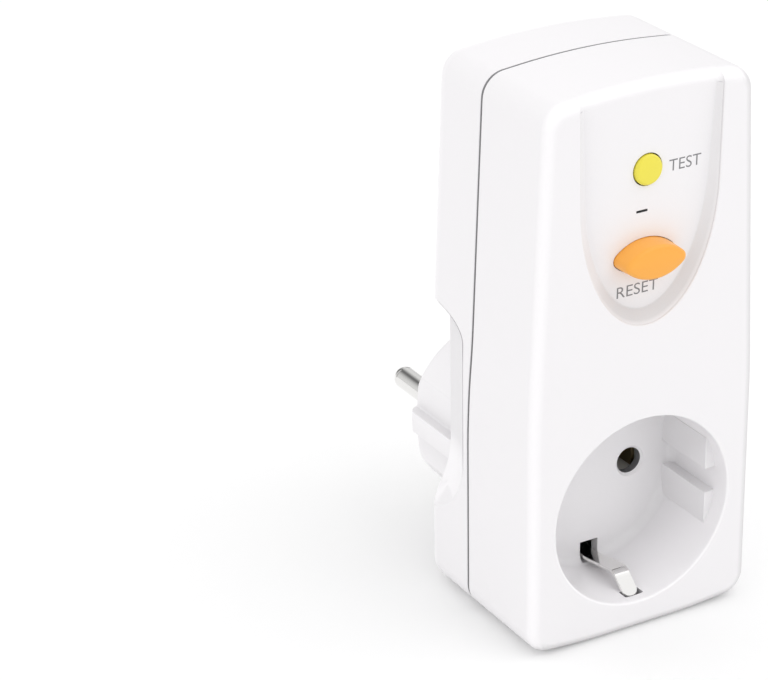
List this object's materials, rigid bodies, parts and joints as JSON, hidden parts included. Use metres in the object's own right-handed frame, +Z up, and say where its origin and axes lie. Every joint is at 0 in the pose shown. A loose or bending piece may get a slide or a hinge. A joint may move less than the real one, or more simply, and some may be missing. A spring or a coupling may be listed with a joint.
{
  "type": "rcd adapter plug",
  "caption": "Plug-in residual current adapter: an upright white box with an earthed round socket in front, a round earthed plug behind, a test button and a reset button.",
  "frame": {"origin": "middle of the bounding box in X and Y, at the height of the foot that the unit stands on", "axes": "+X to the right seen from the front, +Y from the front face towards the plug pins, +Z up"},
  "size_m": [0.0506, 0.08, 0.1135],
  "materials": {
    "white_shell": "satin white moulding",
    "orange_button": "satin orange moulding",
    "yellow_button": "satin yellow moulding",
    "red_flag": "red moulding",
    "dark_insulator": "dark heat-resistant moulding",
    "inner_moulding": "pale natural moulding",
    "dark_moulding": "dark moulding",
    "nickel": "polished nickel plate",
    "steel": "plain steel",
    "contact_brass": "stamped brass",
    "core_iron": "wound alloy tape",
    "copper_winding": "enamelled copper wire",
    "brown_wire": "brown insulation",
    "blue_wire": "blue insulation",
    "green_board": "green solder mask",
    "blue_disc": "blue lacquer",
    "tan_body": "tan lacquer",
    "amber_body": "amber lacquer"
  },
  "bodies": {
    "housing": {"front_cover": "white_shell", "rear_cover": "white_shell", "cover_screws": "steel", "plug_body": "white_shell", "pin_bridge": "dark_insulator", "line_pin": "nickel", "neutral_pin": "nickel", "plug_earth_strap": "nickel", "plug_earth_receptacle": "nickel", "earth_link": "nickel", "socket_earth_bracket": "nickel", "contact_holder": "inner_moulding", "line_output_contact": "contact_brass", "neutral_output_contact": "contact_brass", "line_input_contact": "contact_brass", "neutral_input_contact": "contact_brass", "fixed_contact_tips": "nickel", "line_wire": "brown_wire", "neutral_wire": "blue_wire", "current_transformer": "dark_moulding", "transformer_core": "core_iron", "mechanism_chassis": "inner_moulding", "reset_spring": "steel", "test_spring": "steel", "test_leaf": "contact_brass", "trip_spring": "steel", "coil_frame": "steel", "coil_bobbin": "inner_moulding", "coil_winding": "copper_winding", "plunger_spring": "steel", "circuit_board": "green_board", "control_chip": "dark_moulding", "thyristor": "dark_moulding", "varistor": "blue_disc", "rectifier_diodes": "dark_moulding", "resistors": "tan_body", "capacitors": "amber_body"},
    "test_body": {"test_button": "yellow_button"},
    "reset_body": {"reset_button": "orange_button", "reset_stem": "steel"},
    "carriage_body": {"contact_carriage": "dark_moulding", "line_contact_bridge": "contact_brass", "neutral_contact_bridge": "contact_brass", "indicator_flag": "red_flag"},
    "latch_body": {"latch_plate": "steel"},
    "plunger_body": {"coil_plunger": "steel"}
  },
  "joints": [
    {"name": "test_press", "type": "slide", "parent": "housing", "child": "test_body", "axis": [0, 1, 0], "range_m": [0, 0.0015], "stiffness_N_per_m": 300, "springref_m": -0.004, "deforming": ["test_spring"]},
    {"name": "reset_press", "type": "slide", "parent": "housing", "child": "reset_body", "axis": [0, 1, 0], "range_m": [0, 0.003], "stiffness_N_per_m": 600, "springref_m": -0.006, "deforming": ["reset_spring"]},
    {"name": "carriage_slide", "type": "slide", "parent": "housing", "child": "carriage_body", "axis": [0, -1, 0], "range_m": [0, 0.00195], "stiffness_N_per_m": 500, "springref_m": -0.002, "deforming": ["trip_spring"]},
    {"name": "plunger_slide", "type": "slide", "parent": "housing", "child": "plunger_body", "axis": [0, 0, -1], "range_m": [0, 0.0015], "stiffness_N_per_m": 200, "springref_m": -0.002, "deforming": ["plunger_spring"]},
    {"name": "latch_slide", "type": "slide", "parent": "carriage_body", "child": "latch_body", "axis": [0, 0, -1], "range_m": [0, 0.0015]}
  ],
  "couplings": [
    {"joint": "latch_slide", "follows": "plunger_slide", "ratio": 1}
  ]
}
